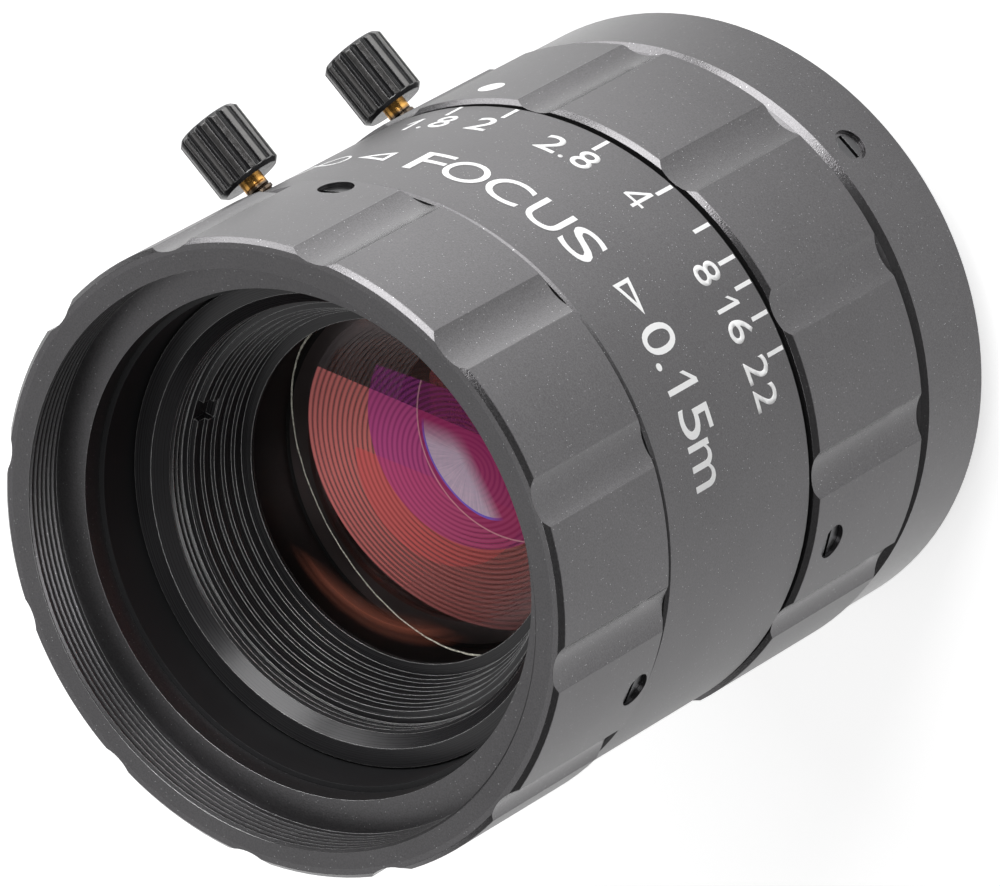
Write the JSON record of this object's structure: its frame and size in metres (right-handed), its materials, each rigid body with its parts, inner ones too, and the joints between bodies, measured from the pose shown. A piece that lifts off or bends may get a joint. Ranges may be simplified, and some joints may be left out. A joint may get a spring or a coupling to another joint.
{
  "type": "c-mount machine vision lens",
  "caption": "Fixed focal length machine vision lens with a screw mount, fluted focus and iris rings, a scale band and knurled lock screws.",
  "frame": {"origin": "centre of the C-mount flange face, on the optical axis", "axes": "+Z along the optical axis to the front of the lens, scale towards -Y, thumbscrews towards +X"},
  "size_m": [0.0509, 0.0446, 0.0568],
  "materials": {
    "anodised_barrel": "black anodised, fine blasted",
    "anodised_ring": "black anodised, fine blasted",
    "anodised_black": "black anodised, matt",
    "anodised_cell": "black anodised, satin",
    "satin_metal": "machined, satin",
    "set_screw_steel": "blackened steel",
    "lock_brass": "turned brass",
    "lock_knob_black": "black anodised, glossy",
    "index_paint": "white paint",
    "blade_steel": "blackened spring steel",
    "optical_glass": "polished, multi-coated"
  },
  "bodies": {
    "barrel": {"mount_housing": "anodised_barrel", "mount_set_screws": "set_screw_steel", "main_barrel": "anodised_barrel", "focus_retaining_ring": "anodised_black", "focus_guide_pin": "set_screw_steel"},
    "focus": {"focus_ring": "anodised_ring", "focus_sleeve": "anodised_black", "focus_set_screws": "set_screw_steel"},
    "cell": {"lens_cell": "anodised_cell", "front_retaining_ring": "anodised_cell", "front_element": "optical_glass", "baffle_spacer": "anodised_black", "second_element": "optical_glass", "third_element": "optical_glass", "iris_base_plate": "anodised_black", "rear_cell": "anodised_cell", "fourth_element": "optical_glass", "rear_spacer_front": "satin_metal", "fifth_element": "optical_glass", "sixth_element": "optical_glass", "rear_spacer_back": "anodised_black", "rear_retaining_ring": "anodised_cell"},
    "rotor": {"iris_rotor": "lock_brass"},
    "iris": {"iris_drive_ring": "anodised_black", "iris_drive_pin": "set_screw_steel", "iris_ring": "anodised_ring", "iris_index_dot": "index_paint", "iris_set_screws": "set_screw_steel"},
    "focus_lock": {"focus_lock_screw": "lock_brass", "focus_lock_knob": "lock_knob_black"},
    "iris_lock": {"iris_lock_screw": "lock_brass", "iris_lock_knob": "lock_knob_black"},
    "blade_1": {"iris_blade_1": "blade_steel"},
    "blade_2": {"iris_blade_2": "blade_steel"},
    "blade_3": {"iris_blade_3": "blade_steel"},
    "blade_4": {"iris_blade_4": "blade_steel"},
    "blade_5": {"iris_blade_5": "blade_steel"},
    "blade_6": {"iris_blade_6": "blade_steel"}
  },
  "joints": [
    {"name": "cell_slide", "type": "slide", "parent": "barrel", "child": "cell", "axis": [0, 0, 1], "range_m": [0, 0.0045]},
    {"name": "focus_turn", "type": "hinge", "parent": "barrel", "child": "focus", "pos_m": [0, 0, 0.03], "axis": [0, 0, 1], "range_deg": [-270.01, 0.01]},
    {"name": "iris_turn", "type": "hinge", "parent": "barrel", "child": "iris", "pos_m": [0, 0, 0.015], "axis": [0, 0, 1], "range_deg": [-79.85, 0]},
    {"name": "rotor_turn", "type": "hinge", "parent": "cell", "child": "rotor", "pos_m": [0, 0, 0.0192], "axis": [0, 0, 1], "range_deg": [-79.86, 0.01]},
    {"name": "focus_lock_turn", "type": "hinge", "parent": "barrel", "child": "focus_lock", "pos_m": [0.02156, 0.00439, 0.0303], "axis": [0.9799, 0.1994, 0], "range_deg": [0, 270]},
    {"name": "iris_lock_turn", "type": "hinge", "parent": "iris", "child": "iris_lock", "pos_m": [0.02185, 0.00445, 0.013], "axis": [0.9799, 0.1994, 0], "range_deg": [0, 270]},
    {"name": "blade_1_swing", "type": "hinge", "parent": "cell", "child": "blade_1", "pos_m": [0.0114, 0, 0.0202], "axis": [0, 0, 1], "range_deg": [-29.54, 0.01]},
    {"name": "blade_2_swing", "type": "hinge", "parent": "cell", "child": "blade_2", "pos_m": [0.0057, 0.00987, 0.0202], "axis": [0, 0, 1], "range_deg": [-29.54, 0.01]},
    {"name": "blade_3_swing", "type": "hinge", "parent": "cell", "child": "blade_3", "pos_m": [-0.0057, 0.00987, 0.0202], "axis": [0, 0, 1], "range_deg": [-29.54, 0.01]},
    {"name": "blade_4_swing", "type": "hinge", "parent": "cell", "child": "blade_4", "pos_m": [-0.0114, 0, 0.0202], "axis": [0, 0, 1], "range_deg": [-29.54, 0.01]},
    {"name": "blade_5_swing", "type": "hinge", "parent": "cell", "child": "blade_5", "pos_m": [-0.0057, -0.00987, 0.0202], "axis": [0, 0, 1], "range_deg": [-29.54, 0.01]},
    {"name": "blade_6_swing", "type": "hinge", "parent": "cell", "child": "blade_6", "pos_m": [0.0057, -0.00987, 0.0202], "axis": [0, 0, 1], "range_deg": [-29.54, 0.01]}
  ],
  "couplings": [
    {"joint": "focus_turn", "follows": "cell_slide", "rad_per_m": -1047.2},
    {"joint": "rotor_turn", "follows": "iris_turn", "ratio": 1},
    {"joint": "blade_1_swing", "follows": "iris_turn", "ratio": 0.36977},
    {"joint": "blade_2_swing", "follows": "iris_turn", "ratio": 0.36977},
    {"joint": "blade_3_swing", "follows": "iris_turn", "ratio": 0.36977},
    {"joint": "blade_4_swing", "follows": "iris_turn", "ratio": 0.36977},
    {"joint": "blade_5_swing", "follows": "iris_turn", "ratio": 0.36977},
    {"joint": "blade_6_swing", "follows": "iris_turn", "ratio": 0.36977}
  ]
}
